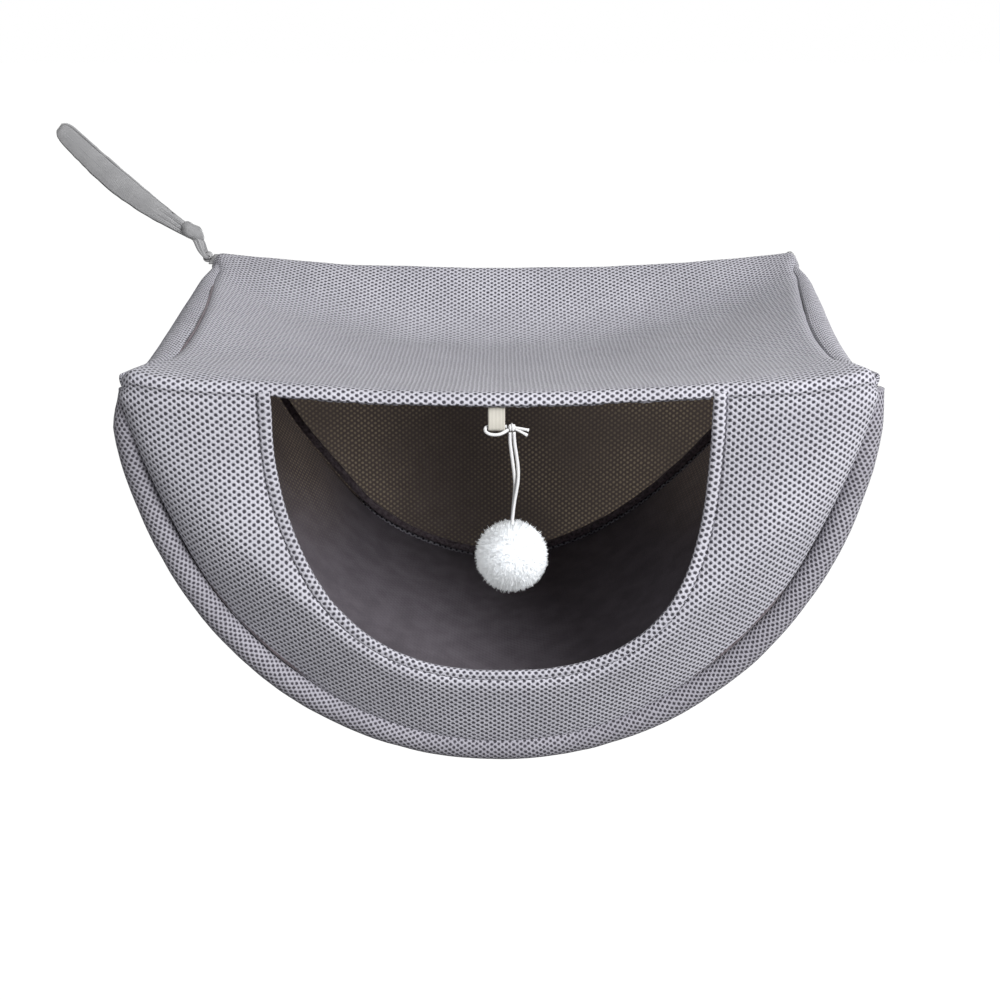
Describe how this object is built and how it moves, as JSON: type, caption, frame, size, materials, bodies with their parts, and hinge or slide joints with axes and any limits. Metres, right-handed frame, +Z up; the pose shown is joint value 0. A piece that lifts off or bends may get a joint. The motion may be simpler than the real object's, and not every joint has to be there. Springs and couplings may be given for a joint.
{
  "type": "cat hammock",
  "caption": "Half-round hanging cat bed of spacer mesh with a sagging roof, a wide front opening, looped corner straps and a swinging pompom toy on an elastic cord.",
  "frame": {"origin": "middle of the level plane through the four hanging corners, at the top of the side walls", "axes": "+X to the right as seen from the open front, +Y to the rear, +Z up"},
  "size_m": [0.5615, 0.3435, 0.3517],
  "materials": {
    "mesh": "matte",
    "lining": "matte",
    "binding": "matte",
    "core": "matte",
    "ribbon": "satin",
    "tab": "matte",
    "cord": "matte",
    "pompom": "matte"
  },
  "bodies": {
    "bed": {"roof_panel": "mesh", "body_wall": "mesh", "body_lining": "lining", "front_panel": "mesh", "rear_panel": "mesh", "front_edge_roll": "mesh", "front_roll_core": "core", "rear_edge_roll": "mesh", "rear_roll_core": "core", "opening_hem": "mesh", "roof_front_hem": "mesh", "front_seam_binding": "binding", "rear_seam_binding": "binding", "roof_seam_tape_left": "binding", "roof_seam_tape_right": "binding", "corner_loop_front_left": "ribbon", "corner_loop_front_right": "ribbon", "corner_loop_rear_left": "ribbon", "corner_loop_rear_right": "ribbon", "toy_tab": "tab"},
    "rear_left_strap": {"strap_rear_left": "ribbon"},
    "rear_right_strap": {"strap_rear_right": "ribbon"},
    "front_left_strap": {"strap_front_left": "ribbon"},
    "front_right_strap": {"strap_front_right": "ribbon"},
    "toy_hanger": {"toy_cord_loop": "cord"},
    "toy": {"toy_knot": "cord", "toy_strand_left": "cord", "toy_strand_right": "cord", "pompom": "pompom"}
  },
  "joints": [
    {"name": "rear_left_strap_swing", "type": "hinge", "parent": "bed", "child": "rear_left_strap", "pos_m": [-0.22, 0.1658, -0.0029], "axis": [0, 1, 0], "range_deg": [-161, 89]},
    {"name": "rear_right_strap_swing", "type": "hinge", "parent": "bed", "child": "rear_right_strap", "pos_m": [0.22, 0.1658, -0.0029], "axis": [0, -1, 0], "range_deg": [-30, 220]},
    {"name": "front_left_strap_swing", "type": "hinge", "parent": "bed", "child": "front_left_strap", "pos_m": [-0.2238, -0.105, -0.022], "axis": [0, 1, 0], "range_deg": [0, 178]},
    {"name": "front_right_strap_swing", "type": "hinge", "parent": "bed", "child": "front_right_strap", "pos_m": [0.2238, -0.105, -0.022], "axis": [0, -1, 0], "range_deg": [0, 178]},
    {"name": "toy_swing_fore_aft", "type": "hinge", "parent": "bed", "child": "toy_hanger", "pos_m": [-0.0015, -0.15, -0.0301], "axis": [1, 0, 0], "range_deg": [-55, 55]},
    {"name": "toy_swing_sideways", "type": "hinge", "parent": "toy_hanger", "child": "toy", "pos_m": [0.0075, -0.15, -0.0306], "axis": [0, 1, 0], "range_deg": [-50, 28]}
  ]
}
